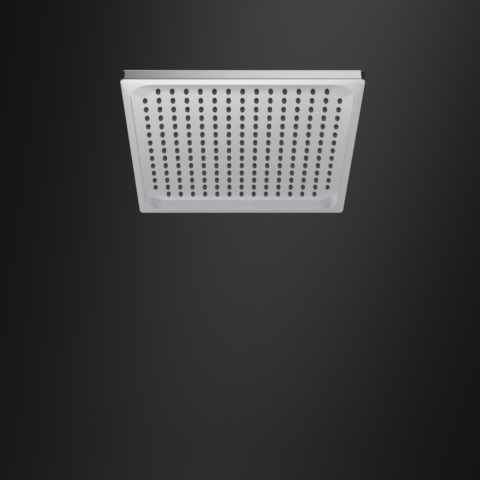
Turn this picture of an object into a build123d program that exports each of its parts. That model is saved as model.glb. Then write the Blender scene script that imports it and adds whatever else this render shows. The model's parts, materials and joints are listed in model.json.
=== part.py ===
from build123d import *
import os
from math import atan, atan2, cos, degrees, pi, radians, sin, sqrt, tan

# Rain shower head. Millimetres, +Z up, origin at the mouth of the inlet thread.
# The head hangs below its inlet, so every level is below zero.

# Spray plate: a square tray with a flat rim and a recessed face
head_size = 250.0
head_corner_radius = 4.5
rim_width = 7.5
rim_thickness = 2.0
rim_fall = 0.6
rim_edge_radius = 0.8
recess_depth = 9.2
recess_corner_radius = 15.0
recess_draft = 2.5
recess_lip_radius = 1.2
recess_floor_radius = 1.2
face_thickness = 2.2
tray_wall = 2.2
locating_rib_thickness = 1.6
locating_rib_height = 5.0
locating_clearance = 0.2

# Nozzles: a square grid without its four corners
nozzle_pitch = 14.75
column_margin = 12.0
row_margin = 19.5
nozzle_root_radius = 2.3
nozzle_tip_radius = 1.8
nozzle_reach = 2.4
nozzle_clearance = 0.12
nozzle_sides = 6
outlet_radius = 0.55
outlet_sides = 4

# Silicone mat that carries the nozzles
mat_thickness = 1.2
mat_border = 8.0
mat_corner_radius = 8.0
mat_clearance = 0.1

# Water chamber above the mat
chamber_height = 2.6
chamber_wall = 2.5
chamber_plate_thickness = 2.2
chamber_boss_wall = 5.0
screw_boss_radius = 3.0
boss_clearance = 0.3
screw_step = 4
screw_radius = 1.35
screw_head_radius = 2.7
screw_head_angle = 90.0
screw_length = 6.0
screw_tip_length = 1.0
screw_clearance = 0.1

# Top cover
cover_wall = 2.2
cover_gap = 0.5
skirt_height = 10.4
skirt_reveal = 0.7
shoulder_inset = 10.0
shoulder_corner_radius = 12.0
shoulder_edge_radius = 3.0
crown_inset = 55.0
crown_corner_radius = 30.0
crown_rise = 2.5
cover_boss_radius = 27.0
cover_boss_height = 2.0
cover_boss_edge_radius = 1.2

# Inlet socket: cup for the ball, flange on the cover, spigot into the chamber
socket_wall = 2.5
socket_floor = 2.7
socket_flange_radius = 24.0
socket_flange_thickness = 2.5
socket_flange_edge_radius = 0.8
spigot_radius = 10.0
spigot_length = 7.2
spigot_bore_radius = 6.0
thread_clearance = 0.1
flange_washer_thickness = 0.8
spigot_seal_thickness = 1.4
spigot_seal_bore_radius = 7.0

# Ball joint
ball_radius = 11.0
ball_flat_radius = 5.2
tilt_limit = 15.0
tilt_clearance = 1.0
seat_clearance = 0.2
seat_wall = 2.0
turn_clearance = 0.2
axial_clearance = 0.3
upper_seat_low = 1.0
upper_seat_high = 5.0
lower_seat_high = 2.0
lower_seat_low = 9.5
stem_radius = 7.0
stem_bore_radius = 4.2

# Collar nut over the ball
collar_lip = 2.7
collar_wall = 2.7
collar_height = 13.0
collar_edge = 1.2
collar_opening_radius = 10.2
collar_flat_depth = 1.6
collar_flat_height = 7.0

# Union nut with the G1/2 inlet thread, modelled at its major radius
nut_height = 15.0
nut_across_flats = 26.0
nut_chamfer_angle = 30.0
inlet_thread_radius = 10.48
inlet_thread_length = 9.0
thread_relief_radius = 10.8
nut_lip = 2.35
swivel_clearance = 0.1

# End of the stud inside the union nut
stud_head_radius = 9.0
stud_head_drop = 1.2
stud_chamfer = 1.0
ring_thickness = 1.1
ring_groove_depth = 0.9
ring_radius = 10.2
ring_opening = 4.0
ring_clearance = 0.05
washer_thickness = 1.7
washer_radius = 9.8
washer_bore_radius = 6.0
washer_clearance = 0.15

# Filter and flow regulator in the inlet of the stud
inlet_seat_radius = 6.6
insert_clearance = 0.15
regulator_height = 3.8
regulator_pocket_radius = 5.4
regulator_pocket_depth = 2.0
regulator_core_radius = 2.2
regulator_port_radius = 0.7
regulator_ports = 8
regulator_seal_thickness = 1.2
regulator_seal_gap = 0.6
filter_thickness = 0.5
filter_opening = 1.4
filter_spacing = 2.1
filter_openings = 5

# Levels, from the inlet mouth down to the ball
nut_bottom = -nut_height
nut_lip_top = nut_bottom + nut_lip
ring_bottom = nut_lip_top + ring_clearance
ring_top = ring_bottom + ring_thickness
washer_top = -inlet_thread_length - washer_clearance
stud_top = washer_top - washer_thickness
inlet_seat = stud_top - filter_thickness - regulator_height
stud_head_bottom = nut_bottom - stud_head_drop
seat_radius = ball_radius + seat_clearance + seat_wall
socket_bore_radius = seat_radius + turn_clearance
socket_radius = socket_bore_radius + socket_wall
collar_bore_radius = socket_radius + thread_clearance
collar_radius = collar_bore_radius + collar_wall
collar_rise = upper_seat_high + axial_clearance + collar_lip
collar_swing = collar_rise * cos(radians(tilt_limit)) + collar_radius * sin(radians(tilt_limit))
ball_center = nut_bottom - tilt_clearance - collar_swing
collar_top = ball_center + collar_rise
collar_bottom = collar_top - collar_height

# Levels, from the ball down to the rim of the plate
socket_top = ball_center + upper_seat_high + axial_clearance
socket_floor_top = ball_center - lower_seat_low - axial_clearance
socket_base = socket_floor_top - socket_floor
flange_top = socket_base + socket_flange_thickness
spigot_end = socket_base - spigot_length
seal_ledge = spigot_end - spigot_seal_thickness
boss_top = socket_base - flange_washer_thickness
boss_inside = boss_top - cover_wall
crown_top = boss_top - cover_boss_height
shoulder_top = crown_top - crown_rise
chamber_top = shoulder_top - cover_wall - cover_gap
chamber_roof = chamber_top - chamber_plate_thickness
mat_top = chamber_roof - chamber_height
mat_bottom = mat_top - mat_thickness
face_top = mat_bottom - mat_clearance
face_level = face_top - face_thickness
rim_level = face_level - recess_depth
skirt_bottom = rim_level + rim_thickness + skirt_reveal
skirt_top = skirt_bottom + skirt_height

# Sizes across the spray plate
recess_size = head_size - 2 * rim_width
face_size = recess_size - 2 * recess_depth * tan(radians(recess_draft))
tray_size = recess_size + 2 * tray_wall
tray_corner_radius = recess_corner_radius + tray_wall
inner_size = head_size - 2 * cover_wall
inner_corner_radius = head_corner_radius - cover_wall
rib_size = inner_size - 2 * locating_clearance
rib_corner_radius = inner_corner_radius - locating_clearance
nozzle_columns = 1 + int((face_size - 2 * column_margin) / nozzle_pitch)
nozzle_rows = 1 + int((face_size - 2 * row_margin) / nozzle_pitch)
field_width = (nozzle_columns - 1) * nozzle_pitch
field_depth = (nozzle_rows - 1) * nozzle_pitch
mat_width = field_width + 2 * mat_border
mat_depth = field_depth + 2 * mat_border
nozzle_length = mat_clearance + face_thickness + nozzle_reach
nozzle_taper = degrees(atan((nozzle_root_radius - nozzle_tip_radius) / nozzle_length))

# Sizes across the cover, whose inner faces keep the wall on the slope
shoulder_size = head_size - 2 * shoulder_inset
crown_size = shoulder_size - 2 * crown_inset
shoulder_slope = atan2(shoulder_top - skirt_top, shoulder_inset)
skirt_inner_drop = cover_wall * tan((pi / 2 - shoulder_slope) / 2)
inner_shoulder_size = shoulder_size - 2 * cover_wall * tan(shoulder_slope / 2)

# Screws and the sphere of the ball
screw_head_height = (screw_head_radius - screw_radius) / tan(radians(screw_head_angle / 2))
pilot_depth = screw_length - chamber_plate_thickness + screw_clearance
stem_rise = sqrt(ball_radius**2 - stem_radius**2)
ball_flat_drop = sqrt(ball_radius**2 - ball_flat_radius**2)

# Nozzles fill the grid but leave its corners out
nozzle_points = [
    (place.position.X, place.position.Y)
    for place in GridLocations(nozzle_pitch, nozzle_pitch, nozzle_columns, nozzle_rows)
    if abs(place.position.X) < (field_width - nozzle_pitch) / 2 + nozzle_tip_radius
    or abs(place.position.Y) < (field_depth - nozzle_pitch) / 2 + nozzle_tip_radius
]

# Screws stand half way between nozzles, in two rings
screw_x = (field_width - nozzle_pitch) / 2
screw_y = (field_depth - nozzle_pitch) / 2
screw_points = [
    (side * (screw_x - column * nozzle_pitch), end * (screw_y - row * nozzle_pitch))
    for side in (-1, 1)
    for end in (-1, 1)
    for column in (0, screw_step)
    for row in (0, screw_step)
]

os.makedirs("parts", exist_ok=True)


# Spray plate, whose rim falls slightly from its outer edge to the recess
with BuildPart() as spray_plate:
    with BuildSketch(Plane.XY.offset(rim_level + rim_fall)):
        RectangleRounded(head_size, head_size, head_corner_radius)
    extrude(amount=rim_thickness - rim_fall)
    with BuildSketch(Plane.XY.offset(rim_level)):
        RectangleRounded(recess_size, recess_size, recess_corner_radius)
    with BuildSketch(Plane.XY.offset(rim_level + rim_fall)):
        RectangleRounded(head_size, head_size, head_corner_radius)
    loft(ruled=True)
    outer_edges = spray_plate.edges().filter_by_position(Axis.Z, rim_level + rim_fall, rim_level + rim_fall)
    fillet(outer_edges, rim_edge_radius)
    with BuildSketch(Plane.XY.offset(rim_level + rim_thickness)):
        RectangleRounded(rib_size, rib_size, rib_corner_radius)
        offset(amount=-locating_rib_thickness, mode=Mode.SUBTRACT)
    extrude(amount=locating_rib_height)
    with BuildSketch(Plane.XY.offset(rim_level + rim_thickness)):
        RectangleRounded(tray_size, tray_size, tray_corner_radius)
    extrude(amount=recess_depth + face_thickness - rim_thickness, taper=recess_draft)
    with BuildSketch(Plane.XY.offset(rim_level)):
        RectangleRounded(recess_size, recess_size, recess_corner_radius)
    extrude(amount=recess_depth, taper=recess_draft, mode=Mode.SUBTRACT)
    lip_edges = spray_plate.edges().filter_by_position(Axis.Z, rim_level, rim_level)
    fillet(lip_edges, recess_lip_radius)
    spray_face = spray_plate.faces().filter_by_position(Axis.Z, face_level, face_level)[0]
    fillet(spray_face.edges(), recess_floor_radius)
    with BuildSketch(Plane.XY.offset(face_top)):
        with Locations(*screw_points):
            Circle(screw_boss_radius)
    extrude(amount=chamber_roof - face_top)
    with BuildSketch(Plane.XY.offset(chamber_roof)):
        with Locations(*screw_points):
            Circle(screw_radius + screw_clearance)
    extrude(amount=-pilot_depth, mode=Mode.SUBTRACT)
    with BuildSketch(Plane.XY.offset(face_level)):
        with Locations(*nozzle_points):
            RegularPolygon(nozzle_root_radius + nozzle_clearance, nozzle_sides, major_radius=False)
    extrude(amount=face_thickness, mode=Mode.SUBTRACT)
spray_plate.part.label = "spray_plate"
export_step(spray_plate.part, "parts/spray_plate.step")


# Nozzle mat: one nozzle repeated under a sheet, with the outlets cut through both
with BuildPart() as nozzle:
    with BuildSketch(Plane.XY.offset(mat_bottom)):
        RegularPolygon(nozzle_root_radius, nozzle_sides, major_radius=False)
    extrude(amount=-nozzle_length, taper=nozzle_taper)

with BuildPart() as nozzle_mat:
    with BuildSketch(Plane.XY.offset(mat_bottom)):
        RectangleRounded(mat_width, mat_depth, mat_corner_radius)
        with Locations(*screw_points):
            Circle(screw_boss_radius + boss_clearance, mode=Mode.SUBTRACT)
    extrude(amount=mat_thickness)
    with Locations(*nozzle_points):
        add(nozzle.part)
    with BuildSketch(Plane.XY.offset(mat_top)):
        with Locations(*nozzle_points):
            RegularPolygon(outlet_radius, outlet_sides, major_radius=False)
    extrude(amount=-(mat_thickness + nozzle_length), mode=Mode.SUBTRACT)
nozzle_mat.part.label = "nozzle_mat"
export_step(nozzle_mat.part, "parts/nozzle_mat.step")


# Chamber plate: a shallow lid over the mat, with the boss that takes the spigot
with BuildPart() as chamber_plate:
    with BuildSketch(Plane.XY.offset(mat_top)):
        RectangleRounded(mat_width, mat_depth, mat_corner_radius)
    extrude(amount=chamber_top - mat_top)
    with BuildSketch(Plane.XY.offset(mat_top)):
        RectangleRounded(mat_width, mat_depth, mat_corner_radius)
        offset(amount=-chamber_wall, mode=Mode.REPLACE)
    extrude(amount=chamber_height, mode=Mode.SUBTRACT)
    with BuildSketch(Plane.XY.offset(chamber_top)):
        Circle(spigot_radius + thread_clearance + chamber_boss_wall)
    extrude(amount=boss_inside - chamber_top)
    with Locations((0, 0, boss_inside)):
        CounterBoreHole(
            radius=spigot_seal_bore_radius,
            counter_bore_radius=spigot_radius + thread_clearance,
            counter_bore_depth=boss_inside - seal_ledge,
        )
    with Locations(*[(x, y, chamber_top) for x, y in screw_points]):
        CounterSinkHole(
            radius=screw_radius + screw_clearance,
            counter_sink_radius=screw_head_radius + screw_clearance,
            counter_sink_angle=screw_head_angle,
        )
chamber_plate.part.label = "chamber_plate"
export_step(chamber_plate.part, "parts/chamber_plate.step")


# Chamber screws: countersunk, flush with the chamber plate
with BuildPart() as screw:
    with BuildSketch(Plane.XZ):
        with BuildLine():
            Polyline(
                (0, chamber_top),
                (screw_head_radius, chamber_top),
                (screw_radius, chamber_top - screw_head_height),
                (screw_radius, chamber_top - screw_length + screw_tip_length),
                (0, chamber_top - screw_length),
                close=True,
            )
        make_face()
    revolve(axis=Axis.Z)

with BuildPart() as chamber_screws:
    with Locations(*screw_points):
        add(screw.part)
chamber_screws.part.label = "chamber_screws"
export_step(chamber_screws.part, "parts/chamber_screws.step")


# Top cover: skirt, sloping shoulder, low crown and a boss for the socket flange
with BuildPart() as top_cover:
    with BuildSketch(Plane.XY.offset(skirt_bottom)):
        RectangleRounded(head_size, head_size, head_corner_radius)
    extrude(amount=skirt_height)
    with BuildSketch(Plane.XY.offset(skirt_top)):
        RectangleRounded(head_size, head_size, head_corner_radius)
    with BuildSketch(Plane.XY.offset(shoulder_top)):
        RectangleRounded(shoulder_size, shoulder_size, shoulder_corner_radius)
    with BuildSketch(Plane.XY.offset(crown_top)):
        RectangleRounded(crown_size, crown_size, crown_corner_radius)
    loft(ruled=True)
    fillet(top_cover.edges().filter_by_position(Axis.Z, skirt_top, skirt_top), shoulder_edge_radius)
    with BuildSketch(Plane.XY.offset(crown_top)):
        Circle(cover_boss_radius)
    extrude(amount=cover_boss_height)
    fillet(top_cover.faces().sort_by(Axis.Z)[-1].edges(), cover_boss_edge_radius)
    with BuildSketch(Plane.XY.offset(skirt_bottom)):
        RectangleRounded(inner_size, inner_size, inner_corner_radius)
    extrude(amount=skirt_height - skirt_inner_drop, mode=Mode.SUBTRACT)
    with BuildSketch(Plane.XY.offset(skirt_top - skirt_inner_drop)):
        RectangleRounded(inner_size, inner_size, inner_corner_radius)
    with BuildSketch(Plane.XY.offset(shoulder_top - cover_wall)):
        RectangleRounded(inner_shoulder_size, inner_shoulder_size, shoulder_corner_radius)
    with BuildSketch(Plane.XY.offset(crown_top - cover_wall)):
        RectangleRounded(crown_size, crown_size, crown_corner_radius)
    loft(ruled=True, mode=Mode.SUBTRACT)
    with BuildSketch(Plane.XY.offset(crown_top - cover_wall)):
        Circle(cover_boss_radius - cover_wall)
    extrude(amount=cover_boss_height, mode=Mode.SUBTRACT)
    with BuildSketch(Plane.XY.offset(boss_top)):
        Circle(spigot_radius + thread_clearance)
    extrude(amount=-cover_wall, mode=Mode.SUBTRACT)
top_cover.part.label = "top_cover"
export_step(top_cover.part, "parts/top_cover.step")


# Inlet socket
with BuildPart() as inlet_socket:
    with BuildSketch(Plane.XZ):
        with BuildLine():
            Polyline(
                (spigot_bore_radius, spigot_end),
                (spigot_radius, spigot_end),
                (spigot_radius, socket_base),
                (socket_flange_radius, socket_base),
                (socket_flange_radius, flange_top),
                (socket_radius, flange_top),
                (socket_radius, socket_top),
                (socket_bore_radius, socket_top),
                (socket_bore_radius, socket_floor_top),
                (spigot_bore_radius, socket_floor_top),
                close=True,
            )
        make_face()
    revolve(axis=Axis.Z)
    flange_edges = inlet_socket.edges().filter_by_position(Axis.Z, flange_top, flange_top)
    fillet(flange_edges.sort_by(SortBy.RADIUS)[-1], socket_flange_edge_radius)
inlet_socket.part.label = "inlet_socket"
export_step(inlet_socket.part, "parts/inlet_socket.step")


# Flange washer between the socket and the cover
with BuildPart() as flange_washer:
    with BuildSketch(Plane.XY.offset(boss_top)):
        Circle(socket_flange_radius)
        Circle(spigot_radius + thread_clearance, mode=Mode.SUBTRACT)
    extrude(amount=flange_washer_thickness)
flange_washer.part.label = "flange_washer"
export_step(flange_washer.part, "parts/flange_washer.step")


# Spigot seal on the ledge inside the chamber boss
with BuildPart() as spigot_seal:
    with BuildSketch(Plane.XY.offset(seal_ledge)):
        Circle(spigot_radius)
        Circle(spigot_seal_bore_radius, mode=Mode.SUBTRACT)
    extrude(amount=spigot_seal_thickness)
spigot_seal.part.label = "spigot_seal"
export_step(spigot_seal.part, "parts/spigot_seal.step")


# Ball seal, the lower seat of the ball
with BuildPart() as ball_seal:
    with BuildSketch(Plane.XY.offset(ball_center - lower_seat_low)):
        Circle(seat_radius)
    extrude(amount=lower_seat_low - lower_seat_high)
    with Locations((0, 0, ball_center)):
        Sphere(ball_radius + seat_clearance, mode=Mode.SUBTRACT)
ball_seal.part.label = "ball_seal"
export_step(ball_seal.part, "parts/ball_seal.step")


# Bearing ring, the upper seat of the ball
with BuildPart() as bearing_ring:
    with BuildSketch(Plane.XY.offset(ball_center + upper_seat_low)):
        Circle(seat_radius)
    extrude(amount=upper_seat_high - upper_seat_low)
    with Locations((0, 0, ball_center)):
        Sphere(ball_radius + seat_clearance, mode=Mode.SUBTRACT)
bearing_ring.part.label = "bearing_ring"
export_step(bearing_ring.part, "parts/bearing_ring.step")


# Ball stud: ball, stem and the head that the union nut hangs on
with BuildPart() as ball_stud:
    with BuildSketch(Plane.XZ):
        with BuildLine():
            Polyline(
                (ball_flat_radius, ball_center - ball_flat_drop),
                (stem_bore_radius, ball_center - ball_flat_drop),
                (stem_bore_radius, inlet_seat),
                (inlet_seat_radius, inlet_seat),
                (inlet_seat_radius, stud_top),
                (stud_head_radius, stud_top),
                (stud_head_radius, ring_top + ring_clearance),
                (stud_head_radius - ring_groove_depth, ring_top + ring_clearance),
                (stud_head_radius - ring_groove_depth, ring_bottom - ring_clearance),
                (stud_head_radius, ring_bottom - ring_clearance),
                (stud_head_radius, stud_head_bottom),
                (stem_radius, stud_head_bottom - stud_chamfer),
                (stem_radius, ball_center + stem_rise),
            )
            ThreePointArc(
                (stem_radius, ball_center + stem_rise),
                (ball_radius, ball_center),
                (ball_flat_radius, ball_center - ball_flat_drop),
            )
        make_face()
    revolve(axis=Axis.Z)
ball_stud.part.label = "ball_stud"
export_step(ball_stud.part, "parts/ball_stud.step")


# Collar nut, screwed over the socket, with two flats for a spanner
with BuildPart() as collar_nut:
    with BuildSketch(Plane.XZ):
        with BuildLine():
            Polyline(
                (collar_bore_radius, collar_bottom),
                (collar_radius, collar_bottom),
                (collar_radius, collar_top - collar_edge),
                (collar_radius - collar_edge, collar_top),
                (collar_opening_radius + collar_edge, collar_top),
                (collar_opening_radius, collar_top - collar_edge),
                (collar_opening_radius, socket_top),
                (collar_bore_radius, socket_top),
                close=True,
            )
        make_face()
    revolve(axis=Axis.Z)
    with BuildSketch(Plane.XY.offset(collar_top)):
        with PolarLocations(collar_radius, 2):
            Rectangle(2 * collar_flat_depth, 2 * collar_radius)
    extrude(amount=-collar_flat_height, mode=Mode.SUBTRACT)
collar_nut.part.label = "collar_nut"
export_step(collar_nut.part, "parts/collar_nut.step")


# Union nut: hexagon with turned corners, inlet thread, relief and lip
nut_corner_radius = nut_across_flats / 2 / cos(radians(30))
nut_chamfer = (nut_corner_radius - nut_across_flats / 2) * tan(radians(nut_chamfer_angle))
with BuildPart() as union_nut:
    with BuildSketch(Plane.XY.offset(nut_bottom)):
        RegularPolygon(nut_across_flats / 2, 6, major_radius=False)
    extrude(amount=nut_height)
    with BuildSketch(Plane.XZ):
        with BuildLine():
            Polyline(
                (0, nut_bottom),
                (nut_across_flats / 2, nut_bottom),
                (nut_corner_radius, nut_bottom + nut_chamfer),
                (nut_corner_radius, -nut_chamfer),
                (nut_across_flats / 2, 0),
                (0, 0),
                close=True,
            )
        make_face()
    revolve(axis=Axis.Z, mode=Mode.INTERSECT)
    with BuildSketch(Plane.XZ):
        with BuildLine():
            Polyline(
                (0, nut_bottom),
                (stud_head_radius + swivel_clearance, nut_bottom),
                (stud_head_radius + swivel_clearance, nut_lip_top),
                (thread_relief_radius, nut_lip_top),
                (thread_relief_radius, -inlet_thread_length),
                (inlet_thread_radius, -inlet_thread_length),
                (inlet_thread_radius, 0),
                (0, 0),
                close=True,
            )
        make_face()
    revolve(axis=Axis.Z, mode=Mode.SUBTRACT)
union_nut.part.label = "union_nut"
export_step(union_nut.part, "parts/union_nut.step")


# Retaining ring, an open spring ring in the groove of the stud
with BuildPart() as retaining_ring:
    with BuildSketch(Plane.XY.offset(ring_bottom)):
        Circle(ring_radius)
        Circle(stud_head_radius - ring_groove_depth + ring_clearance, mode=Mode.SUBTRACT)
        with Locations((ring_radius, 0)):
            Rectangle(ring_radius, ring_opening, mode=Mode.SUBTRACT)
    extrude(amount=ring_thickness)
retaining_ring.part.label = "retaining_ring"
export_step(retaining_ring.part, "parts/retaining_ring.step")


# Sealing washer on the end of the stud
with BuildPart() as sealing_washer:
    with BuildSketch(Plane.XY.offset(stud_top)):
        Circle(washer_radius)
        Circle(washer_bore_radius, mode=Mode.SUBTRACT)
    extrude(amount=washer_thickness)
sealing_washer.part.label = "sealing_washer"
export_step(sealing_washer.part, "parts/sealing_washer.step")


# Filter screen under the washer
with BuildPart() as filter_screen:
    with BuildSketch(Plane.XY.offset(stud_top - filter_thickness)):
        Circle(inlet_seat_radius - insert_clearance)
        with GridLocations(filter_spacing, filter_spacing, filter_openings, filter_openings):
            Rectangle(filter_opening, filter_opening, mode=Mode.SUBTRACT)
    extrude(amount=filter_thickness)
filter_screen.part.label = "filter_screen"
export_step(filter_screen.part, "parts/filter_screen.step")


# Flow regulator: a cup with a core and a ring of ports under the elastic ring
pocket_floor = inlet_seat + regulator_height - regulator_pocket_depth
with BuildPart() as flow_regulator:
    with BuildSketch(Plane.XY.offset(inlet_seat)):
        Circle(inlet_seat_radius - insert_clearance)
    extrude(amount=regulator_height)
    with BuildSketch(Plane.XY.offset(pocket_floor)):
        Circle(regulator_pocket_radius)
        Circle(regulator_core_radius, mode=Mode.SUBTRACT)
    extrude(amount=regulator_pocket_depth, mode=Mode.SUBTRACT)
    with BuildSketch(Plane.XY.offset(inlet_seat)):
        with PolarLocations(stem_bore_radius - regulator_port_radius, regulator_ports):
            Circle(regulator_port_radius)
    extrude(amount=regulator_height - regulator_pocket_depth, mode=Mode.SUBTRACT)
flow_regulator.part.label = "flow_regulator"
export_step(flow_regulator.part, "parts/flow_regulator.step")


# Regulator seal, the elastic ring that narrows the ports under pressure
with BuildPart() as regulator_seal:
    with BuildSketch(Plane.XY.offset(pocket_floor)):
        Circle(regulator_pocket_radius - insert_clearance)
        Circle(regulator_core_radius + regulator_seal_gap, mode=Mode.SUBTRACT)
    extrude(amount=regulator_seal_thickness)
regulator_seal.part.label = "regulator_seal"
export_step(regulator_seal.part, "parts/regulator_seal.step")
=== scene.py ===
# Rain shower head, seen from below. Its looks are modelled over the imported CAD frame,
# in millimetres, and each piece is brought to metres when it is settled.
import json
import math

import bmesh
import bpy
from mathutils import Matrix, Vector

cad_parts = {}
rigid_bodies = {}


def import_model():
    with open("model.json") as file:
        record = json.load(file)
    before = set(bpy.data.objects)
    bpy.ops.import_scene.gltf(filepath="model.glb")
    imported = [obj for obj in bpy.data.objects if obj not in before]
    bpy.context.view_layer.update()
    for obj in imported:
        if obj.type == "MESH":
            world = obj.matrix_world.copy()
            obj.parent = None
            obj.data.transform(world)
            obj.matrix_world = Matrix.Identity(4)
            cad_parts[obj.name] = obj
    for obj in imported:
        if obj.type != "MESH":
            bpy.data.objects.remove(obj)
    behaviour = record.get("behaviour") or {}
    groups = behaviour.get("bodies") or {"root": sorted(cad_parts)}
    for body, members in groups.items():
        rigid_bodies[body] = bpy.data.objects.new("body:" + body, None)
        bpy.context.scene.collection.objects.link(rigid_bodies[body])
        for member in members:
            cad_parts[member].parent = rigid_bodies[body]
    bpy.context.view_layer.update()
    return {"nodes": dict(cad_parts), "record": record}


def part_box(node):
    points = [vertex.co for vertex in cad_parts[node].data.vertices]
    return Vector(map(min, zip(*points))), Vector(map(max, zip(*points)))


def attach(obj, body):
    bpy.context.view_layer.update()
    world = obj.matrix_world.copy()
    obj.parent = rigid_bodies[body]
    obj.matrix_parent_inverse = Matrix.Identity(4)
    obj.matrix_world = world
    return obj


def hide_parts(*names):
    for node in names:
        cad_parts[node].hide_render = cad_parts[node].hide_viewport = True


for leftover in list(bpy.data.objects):
    bpy.data.objects.remove(leftover)
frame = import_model()
nodes = frame["nodes"]
bpy.context.scene.view_settings.view_transform = "Standard"
print("frame loaded with", len(nodes), "CAD nodes")

mm = 0.001  # a millimetre in metres
touch = 0.01  # points closer than this count as one place
mergeGap = 0.005  # doubles closer than this are merged
roundSteps = 3  # facets across a small rounded edge
smoothAngle = math.radians(32)  # sharper edges stay sharp in the shading
noiseSpan = (0.3, 0.7)  # where nearly all values of a noise texture lie
wavePeriod = 0.314  # length of one wave of a wave texture at scale 1
rangeEnds = ("From Min", "From Max", "To Min", "To Max")  # sockets of a map range, in order


# Lowest and highest level of a CAD node, in millimetres
def levels(node):
    low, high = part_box(node)
    return low.z / mm, high.z / mm


def hexColour(text):
    shares = [int(text[i : i + 2], 16) / 255 for i in (1, 3, 5)]
    linear = [s / 12.92 if s <= 0.04045 else ((s + 0.055) / 1.055) ** 2.4 for s in shares]
    return (*linear, 1.0)


# Adds a node with its settings and links. On a colour mix, inputs 6 and 7 are the two colours,
# input 0 is the share of the second and output 2 is the result
def addNode(tree, kind, options=None, values=None, links=None):
    made = tree.nodes.new(kind)
    for key, value in (options or {}).items():
        setattr(made, key, value)
    for key, value in (values or {}).items():
        made.inputs[key].default_value = value
    for key, socket in (links or {}).items():
        tree.links.new(socket, made.inputs[key])
    return made


def newMaterial(name):
    made = bpy.data.materials.new(name)
    made.use_nodes = True
    made.node_tree.nodes.clear()
    return made, made.node_tree


# Chrome on moulded ABS: a cold bright mirror whose flats wander very slightly,
# with faint wiping marks that only show as a change of gloss
def chromeOnAbs():
    look = {
        "tint": "#EDEEF0",
        "wiped": "#E4E5E8",
        "gloss": (0.03, 0.07),
        "smearMm": 28.0,
        "smearSpan": (0.35, 0.7),
        "waveMm": 45.0,
        "waveHeightMm": 0.012,
    }
    made, tree = newMaterial("chrome_on_moulded_abs")
    place = addNode(tree, "ShaderNodeTexCoord").outputs["Object"]
    smear = addNode(
        tree,
        "ShaderNodeTexNoise",
        values={"Scale": 1 / (look["smearMm"] * mm), "Detail": 4.0, "Roughness": 0.6},
        links={"Vector": place},
    ).outputs["Fac"]
    gloss = addNode(
        tree,
        "ShaderNodeMapRange",
        values=dict(zip(rangeEnds, (*look["smearSpan"], *look["gloss"]))),
        links={"Value": smear},
    ).outputs["Result"]
    tint = addNode(
        tree,
        "ShaderNodeMix",
        {"data_type": "RGBA"},
        {6: hexColour(look["tint"]), 7: hexColour(look["wiped"])},
        {0: smear},
    ).outputs[2]
    wave = addNode(
        tree,
        "ShaderNodeTexNoise",
        values={"Scale": 1 / (look["waveMm"] * mm), "Detail": 1.0},
        links={"Vector": place},
    ).outputs["Fac"]
    bump = addNode(
        tree,
        "ShaderNodeBump",
        values={"Strength": 1.0, "Distance": look["waveHeightMm"] * mm},
        links={"Height": wave},
    ).outputs["Normal"]
    shader = addNode(
        tree,
        "ShaderNodeBsdfPrincipled",
        values={"Metallic": 1.0},
        links={"Base Color": tint, "Roughness": gloss, "Normal": bump},
    )
    addNode(tree, "ShaderNodeOutputMaterial", links={"Surface": shader.outputs["BSDF"]})
    return made


# Chrome on turned brass: the same mirror, crossed by fine rings left from the lathe,
# which are drawn coarser than real ones so that they show
def chromeOnBrass():
    look = {
        "tint": "#E9EAEC",
        "ring": "#DDDEE1",
        "gloss": (0.05, 0.11),
        "markSpan": (0.0, 0.7),
        "ringMm": 0.35,
        "smearMm": 9.0,
    }
    made, tree = newMaterial("chrome_on_turned_brass")
    place = addNode(tree, "ShaderNodeTexCoord").outputs["Object"]
    rings = addNode(
        tree,
        "ShaderNodeTexWave",
        {"wave_type": "BANDS", "bands_direction": "Z"},
        {"Scale": wavePeriod / (look["ringMm"] * mm), "Distortion": 0.6, "Detail": 2.0},
        {"Vector": place},
    ).outputs["Fac"]
    smear = addNode(
        tree,
        "ShaderNodeTexNoise",
        values={"Scale": 1 / (look["smearMm"] * mm), "Detail": 3.0},
        links={"Vector": place},
    ).outputs["Fac"]
    marks = addNode(
        tree, "ShaderNodeMath", {"operation": "MULTIPLY"}, links={0: rings, 1: smear}
    ).outputs["Value"]
    gloss = addNode(
        tree,
        "ShaderNodeMapRange",
        values=dict(zip(rangeEnds, (*look["markSpan"], *look["gloss"]))),
        links={"Value": marks},
    ).outputs["Result"]
    tint = addNode(
        tree,
        "ShaderNodeMix",
        {"data_type": "RGBA"},
        {6: hexColour(look["tint"]), 7: hexColour(look["ring"])},
        {0: marks},
    ).outputs[2]
    shader = addNode(
        tree,
        "ShaderNodeBsdfPrincipled",
        values={"Metallic": 1.0},
        links={"Base Color": tint, "Roughness": gloss},
    )
    addNode(tree, "ShaderNodeOutputMaterial", links={"Surface": shader.outputs["BSDF"]})
    return made


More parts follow.
